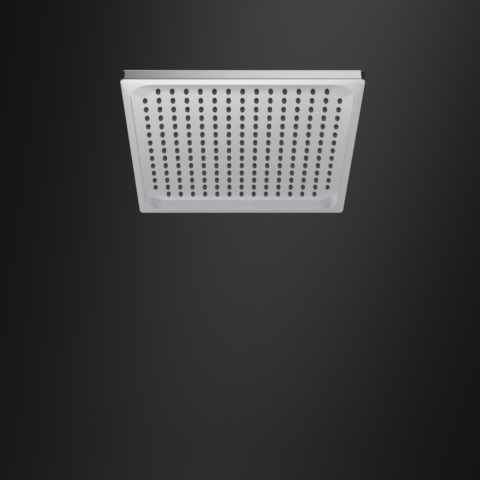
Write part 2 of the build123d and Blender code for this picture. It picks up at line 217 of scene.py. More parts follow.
# Moulded silicone rubber: dark, matt and slightly greasy, cloudy where lime has dried on it.
# Its grain is drawn coarser than the mould's so that it shows
def mouldedSilicone():
    look = {
        "rubber": "#4C4D50",
        "cloud": "#68696D",
        "gloss": (0.42, 0.6),
        "cloudMm": 6.0,
        "grainMm": 0.35,
        "grainHeightMm": 0.03,
    }
    made, tree = newMaterial("moulded_silicone_rubber")
    place = addNode(tree, "ShaderNodeTexCoord").outputs["Object"]
    cloud = addNode(
        tree,
        "ShaderNodeTexNoise",
        values={"Scale": 1 / (look["cloudMm"] * mm), "Detail": 3.0},
        links={"Vector": place},
    ).outputs["Fac"]
    grain = addNode(
        tree,
        "ShaderNodeTexNoise",
        values={"Scale": 1 / (look["grainMm"] * mm), "Detail": 2.0},
        links={"Vector": place},
    ).outputs["Fac"]
    tint = addNode(
        tree,
        "ShaderNodeMix",
        {"data_type": "RGBA"},
        {6: hexColour(look["rubber"]), 7: hexColour(look["cloud"])},
        {0: cloud},
    ).outputs[2]
    gloss = addNode(
        tree,
        "ShaderNodeMapRange",
        values=dict(zip(rangeEnds, (*noiseSpan, *look["gloss"]))),
        links={"Value": cloud},
    ).outputs["Result"]
    bump = addNode(
        tree,
        "ShaderNodeBump",
        values={"Strength": 0.5, "Distance": look["grainHeightMm"] * mm},
        links={"Height": grain},
    ).outputs["Normal"]
    shader = addNode(
        tree,
        "ShaderNodeBsdfPrincipled",
        values={"IOR": 1.41},
        links={"Base Color": tint, "Roughness": gloss, "Normal": bump},
    )
    addNode(tree, "ShaderNodeOutputMaterial", links={"Surface": shader.outputs["BSDF"]})
    return made


# Black moulded plastic and rubber: spark grain that breaks up the gloss, drawn coarse enough
# to show, and paler patches about forty grains wide
blackAbs = {
    "dark": "#1C1C1D",
    "worn": "#262627",
    "gloss": (0.45, 0.62),
    "grainMm": 0.3,
    "grainHeightMm": 0.02,
    "patchMm": 12.0,
}
blackRubber = {
    "dark": "#141415",
    "worn": "#1E1E1F",
    "gloss": (0.6, 0.8),
    "grainMm": 0.2,
    "grainHeightMm": 0.01,
    "patchMm": 8.0,
}


def grainedBlack(name, look):
    made, tree = newMaterial(name)
    place = addNode(tree, "ShaderNodeTexCoord").outputs["Object"]
    grain = addNode(
        tree,
        "ShaderNodeTexNoise",
        values={"Scale": 1 / (look["grainMm"] * mm), "Detail": 4.0},
        links={"Vector": place},
    ).outputs["Fac"]
    patch = addNode(
        tree,
        "ShaderNodeTexNoise",
        values={"Scale": 1 / (look["patchMm"] * mm), "Detail": 2.0},
        links={"Vector": place},
    ).outputs["Fac"]
    tint = addNode(
        tree,
        "ShaderNodeMix",
        {"data_type": "RGBA"},
        {6: hexColour(look["dark"]), 7: hexColour(look["worn"])},
        {0: patch},
    ).outputs[2]
    gloss = addNode(
        tree,
        "ShaderNodeMapRange",
        values=dict(zip(rangeEnds, (*noiseSpan, *look["gloss"]))),
        links={"Value": grain},
    ).outputs["Result"]
    bump = addNode(
        tree,
        "ShaderNodeBump",
        values={"Strength": 0.6, "Distance": look["grainHeightMm"] * mm},
        links={"Height": grain},
    ).outputs["Normal"]
    shader = addNode(
        tree,
        "ShaderNodeBsdfPrincipled",
        values={"IOR": 1.53},
        links={"Base Color": tint, "Roughness": gloss, "Normal": bump},
    )
    addNode(tree, "ShaderNodeOutputMaterial", links={"Surface": shader.outputs["BSDF"]})
    return made


# Turned acetal: milky white and waxy, with the faint steps of the tool, drawn coarse enough to show
def turnedAcetal():
    look = {"white": "#E8E7E2", "shade": "#DCDAD3", "gloss": (0.28, 0.4), "toolMm": 0.4}
    made, tree = newMaterial("turned_acetal")
    place = addNode(tree, "ShaderNodeTexCoord").outputs["Object"]
    steps = addNode(
        tree,
        "ShaderNodeTexWave",
        {"wave_type": "RINGS", "rings_direction": "Z"},
        {"Scale": wavePeriod / (look["toolMm"] * mm), "Distortion": 0.4},
        {"Vector": place},
    ).outputs["Fac"]
    tint = addNode(
        tree,
        "ShaderNodeMix",
        {"data_type": "RGBA"},
        {6: hexColour(look["white"]), 7: hexColour(look["shade"])},
        {0: steps},
    ).outputs[2]
    gloss = addNode(
        tree,
        "ShaderNodeMapRange",
        values={"To Min": look["gloss"][0], "To Max": look["gloss"][1]},
        links={"Value": steps},
    ).outputs["Result"]
    shader = addNode(
        tree,
        "ShaderNodeBsdfPrincipled",
        values={"IOR": 1.48},
        links={"Base Color": tint, "Roughness": gloss},
    )
    addNode(tree, "ShaderNodeOutputMaterial", links={"Surface": shader.outputs["BSDF"]})
    return made


# Drawn stainless steel: grey metal with short scratches along the wire, drawn coarse enough to show
def drawnSteel():
    look = {
        "steel": "#B9B9BB",
        "scratch": "#9FA0A2",
        "gloss": (0.22, 0.38),
        "scratchMm": 0.25,
        "stretch": (1.0, 1.0, 6.0),
    }
    made, tree = newMaterial("drawn_stainless_steel")
    place = addNode(tree, "ShaderNodeTexCoord").outputs["Object"]
    stretched = addNode(
        tree, "ShaderNodeMapping", values={"Scale": look["stretch"]}, links={"Vector": place}
    ).outputs["Vector"]
    scratch = addNode(
        tree,
        "ShaderNodeTexNoise",
        values={"Scale": 1 / (look["scratchMm"] * mm), "Detail": 3.0},
        links={"Vector": stretched},
    ).outputs["Fac"]
    tint = addNode(
        tree,
        "ShaderNodeMix",
        {"data_type": "RGBA"},
        {6: hexColour(look["steel"]), 7: hexColour(look["scratch"])},
        {0: scratch},
    ).outputs[2]
    gloss = addNode(
        tree,
        "ShaderNodeMapRange",
        values=dict(zip(rangeEnds, (*noiseSpan, *look["gloss"]))),
        links={"Value": scratch},
    ).outputs["Result"]
    shader = addNode(
        tree,
        "ShaderNodeBsdfPrincipled",
        values={"Metallic": 1.0},
        links={"Base Color": tint, "Roughness": gloss},
    )
    addNode(tree, "ShaderNodeOutputMaterial", links={"Surface": shader.outputs["BSDF"]})
    return made


finishes = {
    "chromed_abs": chromeOnAbs(),
    "chromed_brass": chromeOnBrass(),
    "nozzle_silicone": mouldedSilicone(),
    "black_abs": grainedBlack("moulded_black_abs", blackAbs),
    "black_rubber": grainedBlack("moulded_black_rubber", blackRubber),
    "white_acetal": turnedAcetal(),
    "spring_steel": drawnSteel(),
}
for subpart in frame["record"]["subparts"]:
    cadMesh = nodes[subpart["node"]].data
    cadMesh.materials.clear()
    cadMesh.materials.append(finishes[subpart["material_slot"]])
print("finishes ready:", ", ".join(finishes))


# An empty mesh at the origin, open for modelling
def begin(name):
    bpy.ops.object.select_all(action="DESELECT")
    bpy.ops.mesh.primitive_plane_add(size=1)
    piece = bpy.context.object
    piece.name = piece.data.name = name
    bpy.ops.object.mode_set(mode="EDIT")
    bpy.ops.mesh.delete(type="VERT")
    return piece


# Selects the points, edges or faces that pass a test, and nothing else
def pick(kind, test):
    bpy.ops.mesh.select_mode(type=kind)
    bpy.ops.mesh.select_all(action="DESELECT")
    mesh = bmesh.from_edit_mesh(bpy.context.object.data)
    for part in {"VERT": mesh.verts, "EDGE": mesh.edges, "FACE": mesh.faces}[kind]:
        if test(part):
            part.select_set(True)
    mesh.select_flush_mode()
    bmesh.update_edit_mesh(bpy.context.object.data)


# Tests for pick: edges that lie on a level, all of them or only those still open
def onLevel(*wanted):
    return lambda edge: any(all(abs(end.co.z - level) < touch for end in edge.verts) for level in wanted)


def openOn(*wanted):
    return lambda edge: (edge.is_wire or edge.is_boundary) and onLevel(*wanted)(edge)


def extrude(along, across=0.0):
    bpy.ops.mesh.extrude_region_move(TRANSFORM_OT_translate={"value": (across, 0, along)})


def widen(share, centre=(0, 0, 0)):
    bpy.ops.transform.resize(value=(share, share, 1), center_override=centre)


# A square of a half width with rounded corners, its sides cut up where a fill needs points
def addOutline(across, corner, level, steps, sideCuts=0):
    bpy.ops.mesh.select_all(action="DESELECT")
    bpy.ops.mesh.primitive_plane_add(size=2 * across, location=(0, 0, level))
    bpy.ops.mesh.bevel(offset=corner, segments=steps, affect="VERTICES")
    bpy.ops.mesh.delete(type="ONLY_FACE")
    if sideCuts:
        pick("EDGE", lambda edge: edge.is_wire and edge.calc_length() > across and onLevel(level)(edge))
        bpy.ops.mesh.subdivide(number_cuts=sideCuts)


# Takes the selected outline through rows of half width and level, from where it is
def carry(rows):
    for (across, level), (nextAcross, nextLevel) in zip(rows, rows[1:]):
        bpy.ops.mesh.extrude_edges_move(TRANSFORM_OT_translate={"value": (0, 0, nextLevel - level)})
        widen(nextAcross / across)


def closeUp():
    bpy.ops.mesh.select_mode(type="VERT")
    bpy.ops.mesh.select_all(action="SELECT")
    bpy.ops.mesh.remove_doubles(threshold=mergeGap)
    bpy.ops.mesh.normals_make_consistent(inside=False)
    bpy.ops.object.mode_set(mode="OBJECT")


def choose(piece, *others):
    bpy.ops.object.select_all(action="DESELECT")
    for thing in (piece, *others):
        thing.select_set(True)
    bpy.context.view_layer.objects.active = piece


def useModifier(piece, kind, **settings):
    choose(piece)
    made = piece.modifiers.new(kind.title(), kind)
    for key, value in settings.items():
        setattr(made, key, value)
    bpy.ops.object.modifier_apply(modifier=made.name)


# Rows of copies, one step apart
def repeat(piece, count, step, **more):
    useModifier(
        piece,
        "ARRAY",
        count=count,
        use_relative_offset=False,
        use_constant_offset=True,
        constant_offset_displace=step,
        **more,
    )


def cutWith(piece, tool, operation="DIFFERENCE"):
    useModifier(piece, "BOOLEAN", operation=operation, object=tool, solver="EXACT")
    bpy.data.objects.remove(tool)


# Draws a closed outline through points of radius and level
def draw(points):
    bpy.ops.mesh.primitive_plane_add(size=1)
    bpy.ops.mesh.merge(type="CENTER")
    bpy.ops.transform.translate(value=(points[0][0], 0, points[0][1]))
    for before, point in zip(points, points[1:]):
        extrude(point[1] - before[1], point[0] - before[0])
    pick("VERT", lambda corner: len(corner.link_edges) == 1)
    bpy.ops.mesh.edge_face_add()


# Draws an outline of radius, level and rounding, rounds its corners and spins it about the axis
def turn(name, outline, steps):
    piece = begin(name)
    draw(outline)
    for radius, level, rounding in outline:
        if rounding:
            pick("VERT", lambda corner: (corner.co - Vector((radius, 0, level))).length < touch)
            bpy.ops.mesh.bevel(offset=rounding, segments=roundSteps, affect="VERTICES")
    bpy.ops.mesh.select_all(action="SELECT")
    bpy.ops.mesh.spin(steps=steps, angle=2 * math.pi, center=(0, 0, 0), axis=(0, 0, 1))
    closeUp()
    return piece


# Millimetres to metres, smooth shading that leaves flats flat, and the place in the frame
def settle(piece, body, slot, *stoodFor):
    choose(piece)
    piece.scale = (mm, mm, mm)
    bpy.ops.object.transform_apply(location=True, rotation=True, scale=True)
    bpy.ops.object.shade_smooth_by_angle(angle=smoothAngle)
    useModifier(piece, "WEIGHTED_NORMAL", keep_sharp=True)
    piece.data.materials.clear()
    piece.data.materials.append(finishes[slot])
    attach(piece, body)
    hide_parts(*stoodFor)
    print(piece.name, "stands for", ", ".join(stoodFor), "with", len(piece.data.polygons), "faces")


# Nozzle field: a grid that leaves out the cell at each corner
field = {"pitch": 14.75, "columns": 15, "rows": 14}
firstX = -field["pitch"] * (field["columns"] - 1) / 2
firstY = -field["pitch"] * (field["rows"] - 1) / 2
tipLevel, matTop = levels("nozzle_mat")


def fillField(piece):
    for count, way in ((field["columns"], (1, 0, 0)), (field["rows"], (0, 1, 0))):
        step = Vector(way) * field["pitch"]
        repeat(piece, count, step, use_merge_vertices=True, merge_threshold=touch)


# Test for pick: points inside the corner cells, a little short of the cells' edges
def inFieldCorner(corner):
    reach = 0.45 * field["pitch"]
    return abs(corner.co.x) > -firstX - reach and abs(corner.co.y) > -firstY - reach


# Screw bosses stand between the nozzles in four groups of four
bossPlaces = {"x": 36.875, "y": 29.5, "step": 59.0, "sides": 16}


def fillBossPlaces(piece):
    for way in ((1, 0, 0), (0, 1, 0)):
        repeat(piece, 2, Vector(way) * bossPlaces["step"])
    useModifier(piece, "MIRROR", use_axis=(True, True, False), use_mirror_merge=False)


# Spray tray: slightly crowned rim, upright recess wall and the perforated face,
# which dishes towards its border
tray = {
    "across": 125.0,
    "corner": 4.5,
    "recessAcross": 117.3,
    "recessCorner": 25.0,
    "cornerSteps": 8,
    "sideCuts": 51,
    "dish": 1.3,
    "dishWidth": 26.0,
    "nozzleReach": 2.4,
    "recessDepth": 8.8,
    "rimFall": 0.6,
    "crownAcross": 120.6,
    "crownCorner": 16.0,
    "crownRise": 0.12,
    "rimThickness": 1.6,
    "faceThickness": 2.2,
    "edgeRound": 0.3,
    "lipRound": 0.2,
    "lipSteps": 4,
    "floorRound": 0.2,
    "floorSteps": 4,
    "ribAcross": (122.6, 121.0),
    "ribHeight": 5.0,
    "wallAcross": (119.7, 119.3),
    "holeRadius": 2.74,
    "holeSides": 16,
    "bossRadius": 3.0,
    "bossHole": 1.45,
    "bossFloor": 0.05,
}
faceLevel = tipLevel + tray["nozzleReach"]
faceBack = faceLevel + tray["faceThickness"]
rimLevel = faceLevel - tray["recessDepth"]
rimOuter = rimLevel + tray["rimFall"]
flangeTop = rimLevel + tray["rimThickness"]


def makeTray():
    piece = begin("sprayTray")
    steps, cuts = tray["cornerSteps"], tray["sideCuts"]
    crownLevel = rimLevel + tray["crownRise"]
    addOutline(tray["across"], tray["corner"], rimOuter, steps, cuts)
    addOutline(tray["crownAcross"], tray["crownCorner"], crownLevel, steps, cuts)
    pick("EDGE", openOn(rimOuter, crownLevel))
    bpy.ops.mesh.bridge_edge_loops()
    addOutline(tray["recessAcross"], tray["recessCorner"], rimLevel, steps, cuts)
    pick("EDGE", openOn(crownLevel, rimLevel))
    bpy.ops.mesh.bridge_edge_loops()

    # recess wall, rounded into the face
    pick("EDGE", openOn(rimLevel))
    radius, recess = tray["floorRound"], tray["recessAcross"]
    border = faceLevel - tray["dish"]
    wall = [(recess, rimLevel)]
    for k in range(tray["floorSteps"] + 1):
        angle = math.radians(90 * k / tray["floorSteps"])
        wall.append((recess - radius * (1 - math.cos(angle)), border - radius * (1 - math.sin(angle))))
    carry(wall)

    # outer edge, locating rib and the back of the wall
    pick("EDGE", openOn(rimOuter))
    ribOut, ribIn = tray["ribAcross"]
    ribTop = flangeTop + tray["ribHeight"]
    carry(
        [
            (tray["across"], rimOuter),
            (tray["across"], flangeTop),
            (ribOut, flangeTop),
            (ribOut, ribTop),
            (ribIn, ribTop),
            (ribIn, flangeTop),
            (tray["wallAcross"][0], flangeTop),
            (tray["wallAcross"][1], faceBack - tray["dish"]),
        ]
    )
    pick("EDGE", onLevel(rimOuter))
    bpy.ops.mesh.bevel(offset=tray["edgeRound"], segments=roundSteps)
    pick("EDGE", onLevel(rimLevel))
    bpy.ops.mesh.bevel(offset=tray["lipRound"], segments=tray["lipSteps"])
    bpy.ops.object.mode_set(mode="OBJECT")

    # one cell of the face, with its hole, fills the field
    cells = begin("faceCells")
    middle, sides = Vector((firstX, firstY)), tray["holeSides"]
    for level in (faceLevel, faceBack):
        place = (*middle, level)
        bpy.ops.mesh.select_all(action="DESELECT")
        bpy.ops.mesh.primitive_plane_add(size=field["pitch"], location=place)
        bpy.ops.mesh.delete(type="ONLY_FACE")
        pick("EDGE", openOn(level))
        bpy.ops.mesh.subdivide(number_cuts=sides // 4 - 1)
        bpy.ops.mesh.select_all(action="DESELECT")
        bpy.ops.mesh.primitive_circle_add(vertices=sides, radius=tray["holeRadius"], location=place)
        pick("EDGE", openOn(level))
        bpy.ops.mesh.bridge_edge_loops()
    reach = tray["holeRadius"] + touch
    pick("EDGE", lambda edge: all((end.co.xy - middle).length < reach for end in edge.verts))
    bpy.ops.mesh.bridge_edge_loops()
    bpy.ops.object.mode_set(mode="OBJECT")
    fillField(cells)

    # the four corner cells make way for the rounded border
    bpy.ops.object.mode_set(mode="EDIT")
    pick("VERT", inFieldCorner)
    bpy.ops.mesh.delete(type="VERT")

    # border round the cells, let down so that the face dishes
    for level, across, whole, corner in (
        (faceLevel, recess - radius, recess, tray["recessCorner"]),
        (faceBack, tray["wallAcross"][1], tray["across"], tray["corner"]),
    ):
        addOutline(across, corner * across / whole, level, steps, cuts)
        pick("EDGE", openOn(level))
        bpy.ops.mesh.fill(use_beauty=True)
    pick("VERT", lambda corner: corner.is_boundary)
    bpy.ops.transform.translate(
        value=(0, 0, -tray["dish"]),
        use_proportional_edit=True,
        proportional_edit_falloff="SHARP",
        proportional_size=tray["dishWidth"],
    )
    bpy.ops.object.mode_set(mode="OBJECT")

    # screw bosses on the back
    bosses = begin("screwBosses")
    height = levels("spray_plate")[1] - faceBack
    bpy.ops.mesh.primitive_cylinder_add(
        vertices=bossPlaces["sides"],
        radius=tray["bossRadius"],
        depth=height,
        location=(bossPlaces["x"], bossPlaces["y"], faceBack + height / 2),
    )
    pick("FACE", lambda face: face.normal.z > 0.9)
    bpy.ops.mesh.inset(thickness=tray["bossRadius"] - tray["bossHole"])
    extrude(tray["bossFloor"] - height)
    bpy.ops.object.mode_set(mode="OBJECT")
    fillBossPlaces(bosses)

    choose(piece, cells, bosses)
    bpy.ops.object.join()
    bpy.ops.object.mode_set(mode="EDIT")
    closeUp()
    settle(piece, "head", "chromed_abs", "spray_plate")


# Nozzle mat: soft nozzles with a blunt tip and a small outlet, under a thin sheet
mat = {
    "thickness": 1.2,
    "fullWidths": (222.5, 207.75),
    "corner": 8.0,
    "cornerSteps": 5,
    "sides": 12,
    "reach": 2.6,
    "rootRadius": 2.62,
    "rootOverlap": 0.3,
    "shoulderRadius": 2.32,
    "tipRadius": 1.95,
    "tipRound": 0.5,
    "outletRadius": 0.6,
    "outletDepth": 1.4,
    "bossClearance": 3.3,
    "bossCutDepth": 4.0,
}


def makeMat():
    piece = begin("nozzleMat")
    matBottom = matTop - mat["thickness"]
    low, high = faceLevel - mat["reach"] + mat["tipRound"], matBottom + mat["rootOverlap"]
    middle = (firstX, firstY, (low + high) / 2)
    bpy.ops.mesh.primitive_cylinder_add(
        vertices=mat["sides"], radius=mat["rootRadius"], depth=high - low, location=middle
    )
    pick("FACE", lambda face: face.normal.z < -0.9)
    widen(mat["shoulderRadius"] / mat["rootRadius"], middle)
    extrude(-mat["tipRound"])
    widen(mat["tipRadius"] / mat["shoulderRadius"], middle)
    bpy.ops.mesh.inset(thickness=mat["tipRadius"] - mat["outletRadius"])
    extrude(mat["outletDepth"])
    bpy.ops.object.mode_set(mode="OBJECT")
    fillField(piece)
    bpy.ops.object.mode_set(mode="EDIT")
    pick("VERT", inFieldCorner)
    bpy.ops.mesh.delete(type="VERT")
    bpy.ops.object.mode_set(mode="OBJECT")

    # the sheet behind the nozzles lets the screw bosses through
    sheet = begin("matSheet")
    bpy.ops.mesh.primitive_plane_add(size=1, location=(0, 0, matBottom))
    bpy.ops.transform.resize(value=(*mat["fullWidths"], 1), center_override=(0, 0, matBottom))
    bpy.ops.mesh.bevel(offset=mat["corner"], segments=mat["cornerSteps"], affect="VERTICES")
    extrude(mat["thickness"])
    closeUp()
    cuts = begin("bossCuts")
    bpy.ops.mesh.primitive_cylinder_add(
        vertices=bossPlaces["sides"],
        radius=mat["bossClearance"],
        depth=mat["bossCutDepth"],
        location=(bossPlaces["x"], bossPlaces["y"], matTop),
    )
    bpy.ops.object.mode_set(mode="OBJECT")
    fillBossPlaces(cuts)
    cutWith(sheet, cuts)
    choose(piece, sheet)
    bpy.ops.object.join()
    bpy.ops.object.mode_set(mode="EDIT")
    closeUp()
    settle(piece, "head", "nozzle_silicone", "nozzle_mat")


# Top shell: skirt, shoulder, low crown and the round boss under the ball joint
shell = {
    "across": 125.0,
    "corner": 4.5,
    "skirtDrop": 0.25,
    "skirtHeight": 10.9,
    "shoulderAcross": 115.0,
    "shoulderCorner": 12.0,
    "shoulderRise": 6.85,
    "crownAcross": 60.0,
    "crownCorner": 30.0,
    "crownRise": 2.5,
    "bossRadius": 27.0,
    "holeRadius": 10.1,
    "cornerSteps": 8,
    "skirtRound": 0.8,
    "shoulderRound": 3.0,
    "bossRound": 1.2,
    "edgeSteps": 4,
    "rimRound": 0.2,
    "rimSteps": 2,
    "wall": 2.2,
}


def makeShell():
    piece = begin("topShell")
    skirtBottom, bossTop = levels("top_cover")
    skirtBottom -= shell["skirtDrop"]
    skirtTop = skirtBottom + shell["skirtHeight"]
    shoulderTop = skirtTop + shell["shoulderRise"]
    crownTop = shoulderTop + shell["crownRise"]
    steps, boss, hole = shell["cornerSteps"], shell["bossRadius"], shell["holeRadius"]
    addOutline(shell["across"], shell["corner"], skirtBottom, steps)
    pick("EDGE", openOn(skirtBottom))
    carry([(shell["across"], skirtBottom), (shell["across"], skirtTop)])
    addOutline(shell["shoulderAcross"], shell["shoulderCorner"], shoulderTop, steps)
    pick("EDGE", openOn(skirtTop, shoulderTop))
    bpy.ops.mesh.bridge_edge_loops()
    addOutline(shell["crownAcross"], shell["crownCorner"], crownTop, steps)
    pick("EDGE", openOn(shoulderTop, crownTop))
    bpy.ops.mesh.bridge_edge_loops()
    bpy.ops.mesh.select_all(action="DESELECT")
    bpy.ops.mesh.primitive_circle_add(vertices=4 * (steps + 1), radius=boss, location=(0, 0, crownTop))
    pick("EDGE", openOn(crownTop))
    bpy.ops.mesh.bridge_edge_loops()
    pick("EDGE", openOn(crownTop))
    carry([(boss, crownTop), (boss, bossTop), (hole, bossTop)])

    # rounded edges, then the wall's thickness
    pick("EDGE", onLevel(skirtTop))
    bpy.ops.mesh.bevel(offset=shell["skirtRound"], segments=shell["edgeSteps"])
    pick("EDGE", onLevel(shoulderTop))
    bpy.ops.mesh.bevel(offset=shell["shoulderRound"], segments=shell["edgeSteps"])
    onBossTop, outside = onLevel(bossTop), (boss + hole) / 2
    pick("EDGE", lambda edge: onBossTop(edge) and all(end.co.xy.length > outside for end in edge.verts))
    bpy.ops.mesh.bevel(offset=shell["bossRound"], segments=shell["edgeSteps"])
    closeUp()
    useModifier(piece, "SOLIDIFY", thickness=shell["wall"], offset=-1, use_even_offset=True)
    bpy.ops.object.mode_set(mode="EDIT")
    onRim, sharpAngle = onLevel(skirtBottom), 1.0
    pick("EDGE", lambda edge: onRim(edge) and edge.calc_face_angle(0) > sharpAngle)
    bpy.ops.mesh.bevel(offset=shell["rimRound"], segments=shell["rimSteps"])
    closeUp()
    settle(piece, "head", "chromed_abs", "top_cover")


turnedSteps = 72  # facets round the turned pieces of the ball joint

# Ball stud: ball, stem and a grooved head that the union nut's ring sits in
stud = {
    "ballRadius": 11.0,
    "ballFlat": 5.2,
    "ballSteps": 20,
    "stemRadius": 7.0,
    "stemBore": 4.2,
    "stemRound": 0.6,
    "inletSeat": 6.6,
    "inletDepth": 4.3,
    "headRadius": 9.0,
    "headLength": 5.35,
    "headChamfer": 1.0,
    "grooveStart": 0.6,
    "grooveEnd": 1.8,
    "grooveDepth": 0.9,
    "edgeRound": 0.3,
    "seatRound": 0.2,
}


def makeStud():
    bottom, top = levels("ball_stud")
    ball, stem, bore = stud["ballRadius"], stud["stemRadius"], stud["stemBore"]
    head, groove = stud["headRadius"], stud["headRadius"] - stud["grooveDepth"]
    centre = bottom + math.sqrt(ball**2 - stud["ballFlat"] ** 2)
    headBottom = top - stud["headLength"]
    outline = [
        (bore, bottom, stud["edgeRound"]),
        (bore, top - stud["inletDepth"], 0),
        (stud["inletSeat"], top - stud["inletDepth"], 0),
        (stud["inletSeat"], top, stud["seatRound"]),
        (head, top, stud["edgeRound"]),
        (head, top - stud["grooveStart"], 0),
        (groove, top - stud["grooveStart"], 0),
        (groove, top - stud["grooveEnd"], 0),
        (head, top - stud["grooveEnd"], 0),
        (head, headBottom, stud["edgeRound"]),
        (stem, headBottom - stud["headChamfer"], stud["stemRound"]),
    ]
    fromAngle, toAngle = math.asin(stem / ball), math.pi - math.asin(stud["ballFlat"] / ball)
    for k in range(stud["ballSteps"] + 1):
        angle = fromAngle + (toAngle - fromAngle) * k / stud["ballSteps"]
        outline.append((ball * math.sin(angle), centre + ball * math.cos(angle), 0))
    settle(turn("ballStud", outline, turnedSteps), "ball_stud", "chromed_brass", "ball_stud")


# Ball socket: cup, flange on the shell and the spigot that is screwed into the head
socket = {
    "cupRadius": 15.9,
    "cupBore": 13.4,
    "cupFloor": 2.7,
    "cupFoot": 0.6,
    "mouthRound": 0.2,
    "flangeRadius": 24.0,
    "flangeThickness": 2.5,
    "flangeRound": 0.8,
    "spigotRadius": 10.0,
    "spigotBore": 6.0,
    "spigotLength": 7.2,
    "spigotRound": 0.5,
    "edgeRound": 0.3,
}


def makeSocket():
    bottom, top = levels("inlet_socket")
    base = bottom + socket["spigotLength"]
    flange = base + socket["flangeThickness"]
    cupFloor = base + socket["cupFloor"]
    outline = [
        (socket["spigotBore"], bottom, socket["edgeRound"]),
        (socket["spigotRadius"], bottom, socket["spigotRound"]),
        (socket["spigotRadius"], base, 0),
        (socket["flangeRadius"], base, socket["edgeRound"]),
        (socket["flangeRadius"], flange, socket["flangeRound"]),
        (socket["cupRadius"], flange, socket["cupFoot"]),
        (socket["cupRadius"], top, socket["edgeRound"]),
        (socket["cupBore"], top, socket["mouthRound"]),
        (socket["cupBore"], cupFloor, 0),
        (socket["spigotBore"], cupFloor, socket["edgeRound"]),
    ]
    settle(turn("ballSocket", outline, turnedSteps), "head", "chromed_brass", "inlet_socket")


# Collar nut: ring that closes the socket over the ball, with two flats for a spanner
collar = {
    "radius": 18.7,
    "bore": 16.0,
    "boreRound": 0.2,
    "opening": 10.2,
    "openingRound": 0.3,
    "lip": 2.7,
    "chamfer": 1.2,
    "chamferRound": 0.4,
    "footRound": 0.5,
    "flatDepth": 1.6,
    "flatHeight": 7.0,
    "flatCutter": (10.0, 74.8, 20.0),
}


def makeCollar():
    bottom, top = levels("collar_nut")
    radius, opening, chamfer = collar["radius"], collar["opening"], collar["chamfer"]
    lipBottom = top - collar["lip"]
    outline = [
        (collar["bore"], bottom, collar["boreRound"]),
        (radius, bottom, collar["footRound"]),
        (radius, top - chamfer, collar["chamferRound"]),
        (radius - chamfer, top, collar["chamferRound"]),
        (opening + chamfer, top, collar["openingRound"]),
        (opening, top - chamfer, collar["openingRound"]),
        (opening, lipBottom, 0),
        (collar["bore"], lipBottom, 0),
    ]
    piece = turn("collarNut", outline, turnedSteps)
    flats = begin("spannerFlats")
    wide, _, tall = collar["flatCutter"]
    for side in (-1, 1):
        away = radius - collar["flatDepth"] + wide / 2
        place = (side * away, 0, top - collar["flatHeight"] + tall / 2)
        bpy.ops.mesh.select_all(action="DESELECT")
        bpy.ops.mesh.primitive_cube_add(size=1, location=place)
        bpy.ops.transform.resize(value=collar["flatCutter"], center_override=place)
    closeUp()
    cutWith(piece, flats)
    settle(piece, "head", "chromed_brass", "collar_nut")


# Union nut: hexagon with turned corners and the ridges of the half-inch pipe thread
nut = {
    "acrossFlats": 26.0,
    "chamferAngle": 30.0,
    "edgeRound": 0.25,
    "latheSteps": 96,
    "boreSteps": 72,
    "threadRadius": 10.48,
    "threadLength": 9.0,
    "mouthChamfer": 0.6,
    "reliefRadius": 10.8,
    "lipRadius": 9.1,
    "lipHeight": 2.35,
    "overrun": 1.0,
    "threadPitch": 1.814,
    "threadDepth": 1.1,
    "threadTurns": 3.6,
    "threadStart": 1.45,
    "ridgeSteps": 48,
    "ridgeFoot": 0.46,
    "ridgeCrest": 0.14,
    "ridgeSink": 0.05,
}


